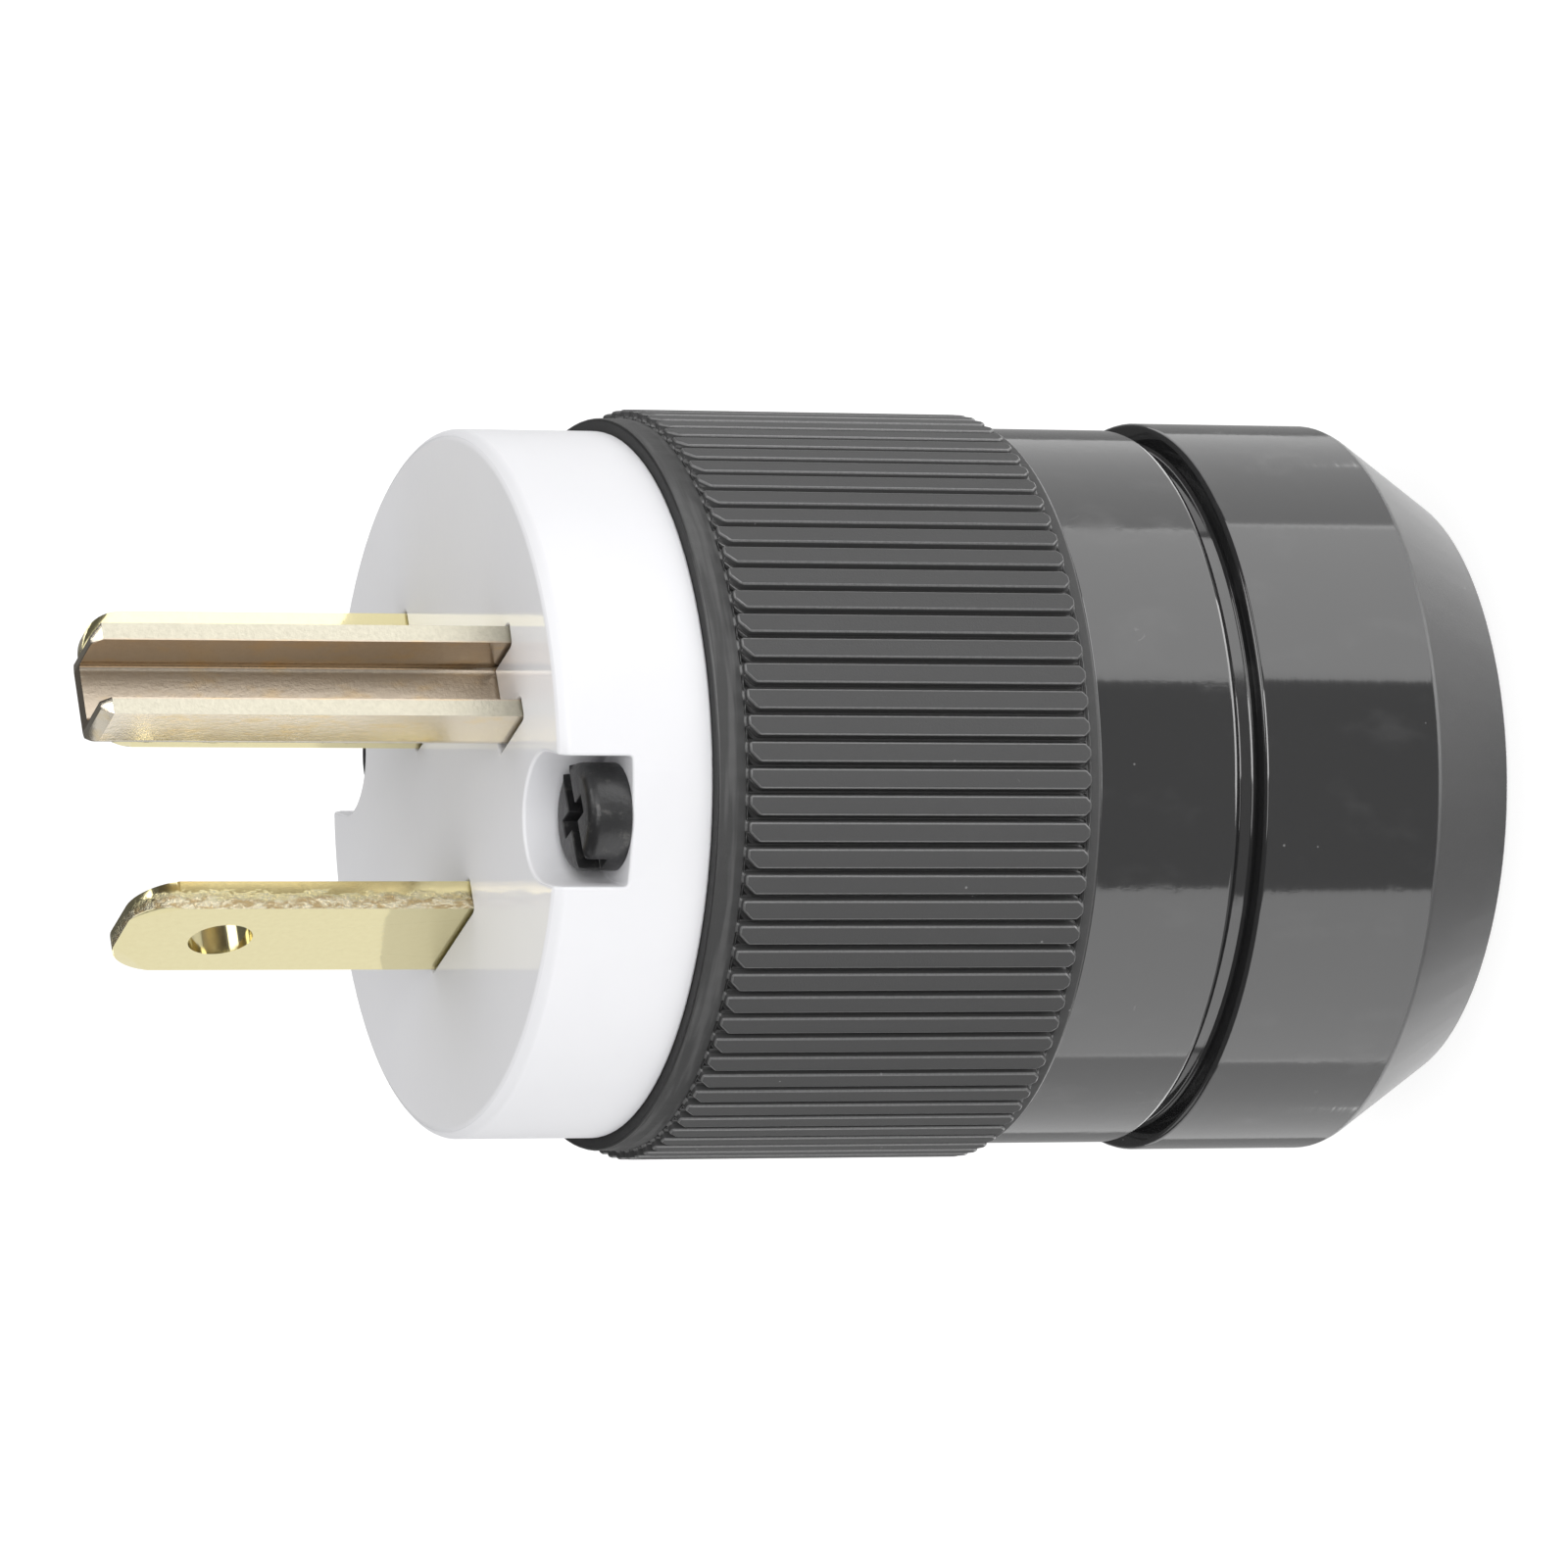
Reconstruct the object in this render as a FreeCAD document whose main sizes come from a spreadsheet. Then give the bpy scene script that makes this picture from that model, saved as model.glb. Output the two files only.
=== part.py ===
import FreeCAD, Part
import Sketcher
import os
import re

# Straight blade plug, 125 V grounding type, for fitting to a cord by hand.
# The plug stands on its rear end: +Z runs along the blades, the origin is the centre of the rear face,
# +X points to the neutral blade and -Y to the ground pin. All sizes are in millimetres.

SIZES = {
    # The three mouldings that show, from the rear end to the front face.
    "body_length": 47.8,
    "front_depth": 7.3,
    "front_radius": 16.4,
    "front_bevel": 0.4,
    "spigot_depth": 1.8,
    "spigot_wall": 1.6,
    "rear_depth": 13.85,
    "rear_step": 0.35,
    "cone_depth": 5.05,
    "cone_step": 3.4,
    "tail_bevel": 0.3,
    "seam_gap": 0.95,
    "neck_step": 1.1,
    # The grip of the shell, with its collar, its flange and its ribs.
    "grip_step": 0.4,
    "grip_wall": 2.1,
    "collar_step": 0.22,
    "collar_width": 0.6,
    "flange_step": 0.2,
    "flange_width": 1.4,
    "rib_count": 90,
    "rib_rise": 0.4,
    "rib_level": 22.5,
    "rib_taper": 0.5,
    "rib_gap_width": 0.26,
    "rib_tip_width": 0.45,
    "rib_heel": 0.28,
    "web_depth": 2.0,
    # The two long screws that draw front, shell and rear together.
    "screw_inset": 2.8,
    "screw_turn": 57.1,
    "screw_head_radius": 2.45,
    "screw_head_height": 2.0,
    "screw_shank_radius": 1.7,
    "screw_end": 7.0,
    "boss_radius": 2.6,
    "insert_radius": 2.2,
    "insert_length": 6.8,
    "insert_cover": 0.55,
    "window_width": 5.9,
    "window_play": 0.2,
    "window_depth": 3.45,
    "recess_width": 0.9,
    "recess_depth": 1.1,
    # Blades and ground pin.
    "blade_pitch": 12.7,
    "blade_line": 1.9,
    "blade_width": 6.35,
    "blade_thickness": 1.4,
    "blade_length": 15.9,
    "blade_hole_radius": 1.5,
    "blade_hole_height": 11.2,
    "tip_round": 1.9,
    "tip_bevel": 2.1,
    "tip_thickness": 0.8,
    "ground_distance": 11.9,
    "ground_width": 4.6,
    "ground_depth": 3.4,
    "ground_back": 2.1,
    "ground_length": 19.7,
    "ground_sheet": 0.85,
    "ground_bend": 0.9,
    "ground_leg_bevel": 0.45,
    "ground_corner_bevel": 0.45,
    "shoulder_width": 8.4,
    "shoulder_depth": 1.8,
    # Terminals behind the blades.
    "terminal_head_radius": 2.9,
    "terminal_head_height": 1.9,
    "terminal_shank_radius": 1.7,
    "terminal_shank_length": 6.0,
    "plate_thickness": 1.0,
    "plate_length": 6.4,
    "plate_ear": 0.8,
    "plate_ear_depth": 0.7,
    "tail_lap": 4.5,
    # The insulating carrier that the contacts stand in.
    "carrier_depth": 12.5,
    "chamber_side": 4.35,
    "chamber_roof": 2.6,
    # Cord entry and the wedge jaws that hold the cord.
    "cord_hole_chamfer": 0.5,
    "entry_wall": 3.0,
    "entry_ledge": 1.1,
    "seal_depth": 1.4,
    "seal_ledge": 2.0,
    "seat_wall": 0.9,
    "seat_step": 1.6,
    "jaw_depth": 8.3,
    "jaw_wall": 1.7,
    "tooth_height": 0.6,
    "tooth_pitch": 1.7,
    "jaw_angle": 164.0,
    "wire_ledge": 0.2,
    # Clearances between the pieces.
    "fit_gap": 0.1,
    "thread_gap": 0.05,
    "screw_gap": 0.15,
    "bore_gap": 0.2,
}

# Places that follow from the sizes.
PLACES = {
    "grip_radius": "front_radius + grip_step",
    "shell_bore": "grip_radius - grip_wall",
    "collar_radius": "grip_radius + collar_step",
    "rib_radius": "collar_radius + rib_rise",
    "rib_foot": "rib_level - shell_foot",
    "rib_pitch": "2 * collar_radius * tan(180 deg / rib_count)",
    "flange_radius": "grip_radius + flange_step",
    "rear_radius": "grip_radius + rear_step",
    "screw_circle": "grip_radius - screw_inset",
    "window_radial": "front_radius - screw_circle + screw_head_radius + window_play",
    "seat_high_radius": "screw_circle - insert_radius - seat_wall",
    "seat_low_radius": "seat_high_radius - seat_step",
    "jaw_hole_radius": "seat_low_radius - jaw_wall",
    "cord_hole_radius": "seat_low_radius - entry_ledge",
    "seal_hole_radius": "cord_hole_radius - seal_ledge",
    "wire_hole_radius": "cord_hole_radius + wire_ledge",
    "parting": "body_length - front_depth",
    "shell_foot": "rear_depth + seam_gap",
    "shell_height": "parting - shell_foot",
    "spigot_radius": "shell_bore - bore_gap",
    "spigot_bore": "spigot_radius - spigot_wall",
    "neck_radius": "rear_radius - neck_step",
    "tail_radius": "rear_radius - cone_step",
    "flange_foot": "shell_height - flange_width",
    "screw_hole": "screw_shank_radius + screw_gap",
    "head_seat": "body_length - window_depth",
    "insert_top": "rear_depth - insert_cover",
    "carrier_foot": "parting - carrier_depth",
    "ground_web": "blade_line - ground_distance + ground_back",
    "ground_edge": "ground_web - ground_depth",
    "seal_seat": "entry_wall + seal_depth",
    "jaw_top": "seal_seat + jaw_depth",
    "terminal_depth": "front_depth + chamber_roof + plate_length / 2 + bore_gap",
    "terminal_level": "carrier_depth + front_depth - terminal_depth",
    "tail_end": "terminal_depth + tail_lap",
}

doc = FreeCAD.newDocument("Plug")
sheet = doc.addObject("Spreadsheet::Sheet", "Sizes")
sub_parts = []


def fill_sheet():
    for row, (alias, number) in enumerate(SIZES.items(), start=1):
        sheet.set(f"A{row}", alias)
        sheet.set(f"B{row}", str(number))
        sheet.setAlias(f"B{row}", alias)
    doc.recompute()


def formula(text):
    """A formula in the sheet's terms: places are opened up and sizes are named in full."""
    def full_name(match):
        word = match.group(0)
        if word in PLACES:
            return "(" + formula(PLACES[word]) + ")"
        if word in SIZES:
            return "Sizes." + word
        return word
    return re.sub(r"[a-z_]+", full_name, str(text))


def value(text):
    return float(sheet.evalExpression(formula(text)))


def bind(thing, **settings):
    """Ties properties of a feature to formulas. A double underscore stands for a dot."""
    for name, text in settings.items():
        thing.setExpression(name.replace("__", "."), formula(text))


def new_body(label, lift="0"):
    body = doc.addObject("PartDesign::Body", label)
    body.Label = label
    bind(body, Placement__Base__z=lift)
    sub_parts.append(body)
    return body


def plane(body, role):
    return next(item for item in body.Origin.OriginFeatures if item.Role == role)


def new_sketch(body, name, role="XY_Plane", offset="0", turn=None):
    sketch = body.newObject("Sketcher::SketchObject", name)
    sketch.AttachmentSupport = [(plane(body, role), "")]
    sketch.MapMode = "FlatFace"
    if turn is not None:
        upright = FreeCAD.Rotation(FreeCAD.Vector(0, 0, 1), value(turn))
        sketch.AttachmentOffset = FreeCAD.Placement(FreeCAD.Vector(), upright)
        bind(sketch, AttachmentOffset__Rotation__Angle=turn)
    bind(sketch, AttachmentOffset__Base__z=offset)
    return sketch


def add_outline(sketch, corners):
    """A closed outline through the corners, each held by its two formulas."""
    points = [FreeCAD.Vector(value(x), value(y), 0) for x, y in corners]
    first = sketch.GeometryCount
    count = len(points)
    for i in range(count):
        sketch.addGeometry(Part.LineSegment(points[i], points[(i + 1) % count]), False)
    for i in range(count):
        following = first + (i + 1) % count
        sketch.addConstraint(Sketcher.Constraint("Coincident", first + i, 2, following, 1))
    for i, corner in enumerate(corners):
        for kind, text, number in zip(("DistanceX", "DistanceY"), corner, (points[i].x, points[i].y)):
            held = sketch.addConstraint(Sketcher.Constraint(kind, -1, 1, first + i, 1, number))
            sketch.setExpression(f"Constraints[{held}]", formula(text))


def add_circle(sketch, x, y, radius):
    centre = FreeCAD.Vector(value(x), value(y), 0)
    ring = sketch.addGeometry(Part.Circle(centre, FreeCAD.Vector(0, 0, 1), value(radius)), False)
    settings = (("DistanceX", x, centre.x), ("DistanceY", y, centre.y))
    for kind, text, number in settings:
        held = sketch.addConstraint(Sketcher.Constraint(kind, -1, 1, ring, 3, number))
        sketch.setExpression(f"Constraints[{held}]", formula(text))
    held = sketch.addConstraint(Sketcher.Constraint("Radius", ring, value(radius)))
    sketch.setExpression(f"Constraints[{held}]", formula(radius))


def rectangle(x_low, x_high, y_low, y_high):
    return [(x_low, y_low), (x_high, y_low), (x_high, y_high), (x_low, y_high)]


def pad(body, sketch, length, name, reversed_=False, midplane=False):
    feature = body.newObject("PartDesign::Pad", name)
    feature.Profile = sketch
    feature.Reversed = reversed_
    feature.Midplane = midplane
    bind(feature, Length=length)
    doc.recompute()
    return feature


def pocket(body, sketch, name, depth=None, reversed_=False, midplane=False):
    """A pocket of the given depth, or right through where there is none. It has to take something away."""
    before = body.Shape.Volume
    feature = body.newObject("PartDesign::Pocket", name)
    feature.Profile = sketch
    feature.Reversed = reversed_
    feature.Midplane = midplane
    if depth is None:
        feature.Type = "ThroughAll"
    else:
        bind(feature, Length=depth)
    doc.recompute()
    if body.Shape.Volume >= before:
        raise ValueError(f"{name} cuts nothing")
    return feature


def revolve(body, sketch, name, angle=None):
    feature = body.newObject("PartDesign::Revolution", name)
    feature.Profile = sketch
    feature.ReferenceAxis = (sketch, ["V_Axis"])
    if angle is None:
        feature.Angle = 360
    else:
        feature.Midplane = True
        bind(feature, Angle=angle)
    doc.recompute()
    return feature


def turned(body, name, corners, angle=None):
    """A turned form: its half section is drawn as radius and height."""
    sketch = new_sketch(body, name + "Section", "XZ_Plane")
    add_outline(sketch, corners)
    return revolve(body, sketch, name, angle)


def rim_edges(shape, radius, height):
    """Names of the full circular edges of one radius at one height."""
    names = []
    for number, edge in enumerate(shape.Edges, start=1):
        curve = edge.Curve
        if not isinstance(curve, Part.Circle):
            continue
        if abs(curve.Radius - value(radius)) < 1e-4 and abs(curve.Center.z - value(height)) < 1e-4:
            names.append(f"Edge{number}")
    return names


def straight_edges(shape, at):
    """Names of the straight edges whose middles pass the test."""
    names = []
    for number, edge in enumerate(shape.Edges, start=1):
        if isinstance(edge.Curve, Part.Line) and at(edge):
            names.append(f"Edge{number}")
    return names


def dress(body, kind, name, base, edges, size):
    """A fillet or a chamfer on the named edges of a feature."""
    if not edges:
        raise ValueError(f"{name} finds no edge")
    feature = body.newObject("PartDesign::" + kind, name)
    feature.Base = (base, edges)
    setting = "Radius" if kind == "Fillet" else "Size"
    bind(feature, **{setting: size})
    doc.recompute()
    if feature.Shape.isNull():
        raise ValueError(f"{name} makes no shape")
    return feature


def contact_slots(extra):
    """Outlines of the two blades and the U of the ground pin in plan, each larger all round by extra."""
    half_width = f"blade_width / 2 + {extra}"
    half_thickness = f"blade_thickness / 2 + {extra}"
    half_pitch = "blade_pitch / 2"
    hot = rectangle(f"-{half_pitch} - ({half_thickness})", f"-{half_pitch} + {half_thickness}",
                    f"blade_line - ({half_width})", f"blade_line + {half_width}")
    neutral = rectangle(f"{half_pitch} - ({half_width})", f"{half_pitch} + {half_width}",
                        f"blade_line - ({half_thickness})", f"blade_line + {half_thickness}")
    return [hot, neutral, ground_outline(extra)]


def ground_outline(extra):
    """The U of the ground pin in plan, open towards -Y."""
    outer = f"ground_width / 2 + {extra}"
    inner = f"ground_width / 2 - ground_sheet - {extra}"
    edge = f"ground_edge - {extra}"
    back = f"ground_web + {extra}"
    crook = f"ground_web - ground_sheet - {extra}"
    return [(f"-({outer})", edge), (f"-({inner})", edge), (f"-({inner})", crook), (inner, crook),
            (inner, edge), (outer, edge), (outer, back), (f"-({outer})", back)]


def screw_places(sketch, radius):
    """Two circles on the screw circle, opposite each other, in a sketch turned to the screws."""
    add_circle(sketch, "screw_circle", "0", radius)
    add_circle(sketch, "-screw_circle", "0", radius)


# Front face: the white nylon moulding that the contacts come out of.
def build_front_face():
    body = new_body("front_face", "parting")
    disc = new_sketch(body, "FaceDisc")
    add_circle(disc, "0", "0", "front_radius")
    block = pad(body, disc, "front_depth", "FaceBlock")
    rim = rim_edges(block.Shape, "front_radius", "front_depth")
    dress(body, "Chamfer", "FaceBevel", block, rim, "front_bevel")
    ring = new_sketch(body, "SpigotRing")
    add_circle(ring, "0", "0", "spigot_radius")
    add_circle(ring, "0", "0", "spigot_bore")
    pad(body, ring, "spigot_depth", "Spigot", reversed_=True)
    bosses = new_sketch(body, "BossNotches", turn="screw_turn")
    screw_places(bosses, "boss_radius + bore_gap")
    pocket(body, bosses, "BossClearance", "spigot_depth")
    holes = new_sketch(body, "ScrewHoles", turn="screw_turn")
    screw_places(holes, "screw_hole")
    pocket(body, holes, "ScrewClearance", reversed_=True)
    cut_windows(body)
    slots = new_sketch(body, "ContactSlots")
    for outline in contact_slots("fit_gap"):
        add_outline(slots, outline)
    pocket(body, slots, "ContactWays", midplane=True)


def cut_windows(body):
    """The two notches in the rim where the screw heads lie, each with a round inner end."""
    round_end = "front_radius - window_radial + window_width / 2"
    ends = new_sketch(body, "WindowEnds", offset="front_depth", turn="screw_turn")
    add_circle(ends, round_end, "0", "window_width / 2")
    add_circle(ends, f"-({round_end})", "0", "window_width / 2")
    pocket(body, ends, "WindowRound", "window_depth")
    mouths = new_sketch(body, "WindowMouths", offset="front_depth", turn="screw_turn")
    beyond = "front_radius + window_width"
    half = "window_width / 2"
    add_outline(mouths, rectangle(round_end, beyond, f"-{half}", half))
    add_outline(mouths, rectangle(f"-({beyond})", f"-({round_end})", f"-{half}", half))
    pocket(body, mouths, "WindowMouth", "window_depth")


# Blades: stamped brass, with a detent hole, coined tips, shoulders and a flat tail that takes the terminal.
def build_blade(label, x, y, angle):
    body = new_body(label, "body_length")
    bind(body, Placement__Base__x=x, Placement__Base__y=y)
    body.Placement = FreeCAD.Placement(body.Placement.Base, FreeCAD.Rotation(FreeCAD.Vector(0, 0, 1), angle))
    side = new_sketch(body, "BladeSide", "XZ_Plane")
    half = "blade_width / 2"
    wide = "shoulder_width / 2"
    shoulder_top = "-front_depth"
    shoulder_foot = "-(front_depth + shoulder_depth)"
    foot = "-tail_end"
    add_outline(side, [(half, foot), (half, shoulder_foot), (wide, shoulder_foot), (wide, shoulder_top),
                       (half, shoulder_top), (half, "blade_length"), (f"-{half}", "blade_length"),
                       (f"-{half}", shoulder_top), (f"-{wide}", shoulder_top), (f"-{wide}", shoulder_foot),
                       (f"-{half}", shoulder_foot), (f"-{half}", foot)])
    stamping = pad(body, side, "blade_thickness", "Stamping", midplane=True)
    tip = value("blade_length")
    corners = straight_edges(stamping.Shape, lambda edge: abs(edge.CenterOfMass.z - tip) < 1e-4
                             and abs(edge.CenterOfMass.y) < 1e-4)
    dress(body, "Fillet", "TipRound", stamping, corners, "tip_round")
    bevel_tip(body)
    holes = new_sketch(body, "BladeHoles", "XZ_Plane")
    add_circle(holes, "0", "blade_hole_height", "blade_hole_radius")
    add_circle(holes, "0", "-terminal_depth", "terminal_shank_radius + thread_gap")
    pocket(body, holes, "HoleCut", "blade_width", midplane=True)


def bevel_tip(body):
    """Coining thins the tip evenly from both broad sides."""
    wedge = new_sketch(body, "TipWedges", "YZ_Plane")
    for sign in ("", "-"):
        full = f"{sign}blade_thickness / 2"
        thin = f"{sign}tip_thickness / 2"
        outside = f"{sign}blade_thickness"
        add_outline(wedge, [(full, "blade_length - tip_bevel"), (outside, "blade_length - tip_bevel"),
                            (outside, "blade_length + tip_bevel"), (thin, "blade_length + tip_bevel"),
                            (thin, "blade_length")])
    pocket(body, wedge, "TipBevel", "shoulder_width", midplane=True)


# Ground pin: one strip of plated brass folded to a U, with a flat tail.
def build_ground_pin():
    body = new_body("ground_pin", "body_length")
    foot = "front_depth + shoulder_depth"
    section = new_sketch(body, "PinSection", offset=f"-({foot})")
    add_outline(section, ground_outline("0"))
    folded = pad(body, section, f"{foot} + ground_length", "Fold")
    half = value("ground_width / 2")
    web = value("ground_web")
    bends = straight_edges(folded.Shape, lambda edge: abs(abs(edge.CenterOfMass.x) - half) < 1e-4
                           and abs(edge.CenterOfMass.y - web) < 1e-4)
    outer = dress(body, "Fillet", "OuterBend", folded, bends, "ground_bend")
    inner_half = value("ground_width / 2 - ground_sheet")
    crook = value("ground_web - ground_sheet")
    crooks = straight_edges(outer.Shape, lambda edge: abs(abs(edge.CenterOfMass.x) - inner_half) < 1e-4
                            and abs(edge.CenterOfMass.y - crook) < 1e-4)
    dress(body, "Fillet", "InnerBend", outer, crooks, "ground_bend / 3")
    tail = new_sketch(body, "PinTail", "XZ_Plane", offset="-ground_web")
    narrow = "blade_width / 2"
    wide = "shoulder_width / 2"
    top = "-front_depth"
    add_outline(tail, [(narrow, "-tail_end"), (narrow, f"-({foot})"), (wide, f"-({foot})"), (wide, top),
                       (f"-{wide}", top), (f"-{wide}", f"-({foot})"), (f"-{narrow}", f"-({foot})"),
                       (f"-{narrow}", "-tail_end")])
    pad(body, tail, "ground_sheet", "Tail")
    trim_pin_tip(body)
    hole = new_sketch(body, "PinHole", "XZ_Plane", offset="-ground_web")
    add_circle(hole, "0", "-terminal_depth", "terminal_shank_radius + thread_gap")
    pocket(body, hole, "HoleCut", "ground_depth", midplane=True)


def trim_pin_tip(body):
    """The end of the U is cut back at its free edges and at its two corners."""
    side = new_sketch(body, "LegBevel", "YZ_Plane")
    beyond = "ground_edge - ground_leg_bevel"
    start = "ground_length - ground_leg_bevel"
    above = "ground_length + ground_leg_bevel"
    inward = "ground_edge + ground_leg_bevel"
    add_outline(side, [(beyond, start), ("ground_edge", start), (inward, "ground_length"), (inward, above),
                       (beyond, above)])
    pocket(body, side, "LegTips", "ground_width * 2", midplane=True)
    front = new_sketch(body, "CornerBevel", "XZ_Plane")
    for sign in ("", "-"):
        edge = f"{sign}ground_width / 2"
        inside = f"{sign}(ground_width / 2 - ground_corner_bevel)"
        outside = f"{sign}(ground_width / 2 + ground_corner_bevel)"
        add_outline(front, [(edge, "ground_length - ground_corner_bevel"),
                            (outside, "ground_length - ground_corner_bevel"),
                            (outside, "ground_length + ground_corner_bevel"),
                            (inside, "ground_length + ground_corner_bevel"), (inside, "ground_length")])
    pocket(body, front, "CornerTips", midplane=True)


# Screws: a flat round head with a combined slot and cross, and a plain shank where the thread runs.
def build_screw(label, head_radius, head_height, shank_radius, shank_length):
    body = new_body(label)
    shank = new_sketch(body, "ShankCircle")
    add_circle(shank, "0", "0", shank_radius)
    pad(body, shank, shank_length, "Shank", reversed_=True)
    head = new_sketch(body, "HeadCircle")
    add_circle(head, "0", "0", head_radius)
    pad(body, head, head_height, "Head")
    slot = new_sketch(body, "SlotOutline", offset=head_height)
    half = "recess_width / 2"
    reach = f"({head_radius}) * 1.2"
    add_outline(slot, rectangle(f"-{reach}", reach, f"-{half}", half))
    pocket(body, slot, "Slot", "recess_depth")
    arms = new_sketch(body, "CrossOutline", offset=head_height)
    arm = f"({head_radius}) * 0.55"
    add_outline(arms, rectangle(f"-{half}", half, f"-{arm}", arm))
    pocket(body, arms, "Cross", "recess_depth")
    return body


def place(body, x, y, z, across, away):
    """Puts a body at a point, with its X along across and its Z along away."""
    up = away.cross(across)
    body.Placement = FreeCAD.Placement(FreeCAD.Vector(), FreeCAD.Rotation(across, up, away, "XYZ"))
    bind(body, Placement__Base__x=x, Placement__Base__y=y, Placement__Base__z=z)


# Clamp plates: square brass washers with two ears that hug the tail, so that they can't turn.
def build_clamp_plate(label):
    body = new_body(label)
    half = "blade_width / 2 + fit_gap"
    outer = f"{half} + plate_ear"
    base = new_sketch(body, "PlateSection", "XZ_Plane")
    ear = "-plate_ear_depth"
    top = "plate_thickness"
    add_outline(base, [(f"-({outer})", ear), (f"-({half})", ear), (f"-({half})", "0"), (half, "0"),
                       (half, ear), (outer, ear), (outer, top), (f"-({outer})", top)])
    pad(body, base, "plate_length", "Plate", midplane=True)
    hole = new_sketch(body, "PlateHole")
    add_circle(hole, "0", "0", "terminal_shank_radius + screw_gap")
    pocket(body, hole, "HoleCut", reversed_=True)
    return body


def build_terminals():
    """A screw and a clamp plate on the outer side of each tail."""
    level = "body_length - terminal_depth"
    along_x = FreeCAD.Vector(1, 0, 0)
    along_y = FreeCAD.Vector(0, 1, 0)
    terminals = {
        "hot": ("-blade_pitch / 2", "blade_line", along_y, -along_x, "blade_thickness / 2"),
        "neutral": ("blade_pitch / 2", "blade_line", along_x, along_y, "blade_thickness / 2"),
        "ground": ("0", "ground_web", along_x, -along_y, "ground_sheet"),
    }
    for name, (x, y, across, away, face) in terminals.items():
        plate = build_clamp_plate(name + "_clamp_plate")
        place(plate, f"{x} + {away.x} * {face}", f"{y} + {away.y} * {face}", level, across, away)
        screw = build_screw(name + "_terminal_screw", "terminal_head_radius", "terminal_head_height",
                            "terminal_shank_radius", "terminal_shank_length")
        rise = f"({face} + plate_thickness)"
        place(screw, f"{x} + {away.x} * {rise}", f"{y} + {away.y} * {rise}", level, across, away)


# Contact carrier: the insulating block behind the front face, with a chamber open to the side for each wire.
def build_contact_carrier():
    body = new_body("contact_carrier", "carrier_foot")
    rim = "spigot_radius"
    neck = "spigot_bore - fit_gap"
    neck_foot = "carrier_depth - spigot_depth"
    turned(body, "Block", [("0", "0"), (rim, "0"), (rim, neck_foot), (neck, neck_foot),
                           (neck, "carrier_depth"), ("0", "carrier_depth")])
    notches = new_sketch(body, "BossNotches", turn="screw_turn")
    screw_places(notches, "boss_radius + bore_gap")
    pocket(body, notches, "BossClearance", reversed_=True)
    chambers = new_sketch(body, "Chambers")
    back = "blade_thickness / 2"
    beyond = "shell_bore + spigot_wall"
    add_outline(chambers, rectangle(f"-({beyond})", f"-blade_pitch / 2 + {back}",
                                    "blade_line - chamber_side", "blade_line + chamber_side"))
    add_outline(chambers, rectangle("blade_pitch / 2 - chamber_side", "blade_pitch / 2 + chamber_side",
                                    f"blade_line - {back}", beyond))
    add_outline(chambers, rectangle("-chamber_side", "chamber_side", f"-({beyond})", "ground_web"))
    pocket(body, chambers, "WireChambers", "carrier_depth - chamber_roof", reversed_=True)
    cut_contact_seats(body)
    relieve_shanks(body)


def cut_contact_seats(body):
    """Slots for the tails through the roof of the chambers, and seats for the shoulders in its top."""
    tails = new_sketch(body, "TailSlots", offset="carrier_depth")
    narrow = "blade_width / 2 + fit_gap"
    strip_front = "ground_web - ground_sheet - fit_gap"
    strip_back = "ground_web + fit_gap"
    hot, neutral, fold = contact_slots("fit_gap")
    for outline in (hot, neutral, rectangle(f"-({narrow})", narrow, strip_front, strip_back)):
        add_outline(tails, outline)
    pocket(body, tails, "TailWays", "chamber_roof")
    legs = new_sketch(body, "FoldSlot", offset="carrier_depth")
    add_outline(legs, fold)
    pocket(body, legs, "FoldSeat", "shoulder_depth")
    seats = new_sketch(body, "ShoulderSeats", offset="carrier_depth")
    wide = "shoulder_width / 2 + fit_gap"
    thick = "blade_thickness / 2 + fit_gap"
    add_outline(seats, rectangle(f"-blade_pitch / 2 - ({thick})", f"-blade_pitch / 2 + {thick}",
                                 f"blade_line - ({wide})", f"blade_line + {wide}"))
    add_outline(seats, rectangle(f"blade_pitch / 2 - ({wide})", f"blade_pitch / 2 + {wide}",
                                 f"blade_line - ({thick})", f"blade_line + {thick}"))
    add_outline(seats, rectangle(f"-({wide})", wide, strip_front, strip_back))
    pocket(body, seats, "ShoulderPockets", "shoulder_depth")


def relieve_shanks(body):
    """Blind holes behind the tails for the ends of the terminal screws."""
    hole = "terminal_shank_radius + screw_gap"
    hot = new_sketch(body, "HotRelief", "YZ_Plane", offset="-blade_pitch / 2")
    add_circle(hot, "blade_line", "terminal_level", hole)
    pocket(body, hot, "HotShankHole", "terminal_shank_length", reversed_=True)
    neutral = new_sketch(body, "NeutralRelief", "XZ_Plane", offset="-blade_line")
    add_circle(neutral, "blade_pitch / 2", "terminal_level", hole)
    pocket(body, neutral, "NeutralShankHole", "terminal_shank_length", reversed_=True)
    ground = new_sketch(body, "GroundRelief", "XZ_Plane", offset="-ground_web")
    add_circle(ground, "0", "terminal_level", hole)
    pocket(body, ground, "GroundShankHole", "terminal_shank_length")


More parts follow.
